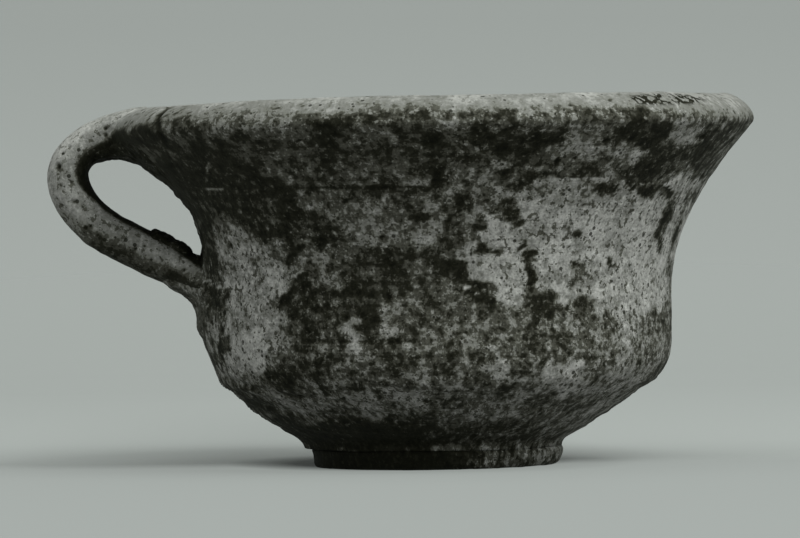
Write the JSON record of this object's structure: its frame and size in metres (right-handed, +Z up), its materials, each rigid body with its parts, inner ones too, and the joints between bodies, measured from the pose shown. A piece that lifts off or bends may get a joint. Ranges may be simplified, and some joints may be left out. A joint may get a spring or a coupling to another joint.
{
  "type": "handled bowl",
  "caption": "Wheel-thrown earthenware bowl with a flaring rounded lip, upright belly, low disc foot and a strap handle looped from lip to belly.",
  "frame": {"origin": "centre of the underside of the disc foot, on the bowl's turning axis", "axes": "+Z up along the turning axis, +X away from the handle, the handle lies in the XZ plane on the -X side"},
  "size_m": [0.1662, 0.1506, 0.087],
  "materials": {
    "slipped_clay": "worn matt slip on fired earthenware",
    "worn_clay": "matt fired earthenware, slip rubbed away",
    "dark_clay": "dark matt slip on fired earthenware"
  },
  "bodies": {
    "root": {"thrown_bowl": "slipped_clay", "disc_foot": "dark_clay", "strap_handle": "worn_clay", "rim_luting_clay": "dark_clay", "belly_luting_clay": "slipped_clay", "crotch_clay_pad": "dark_clay"}
  },
  "joints": []
}
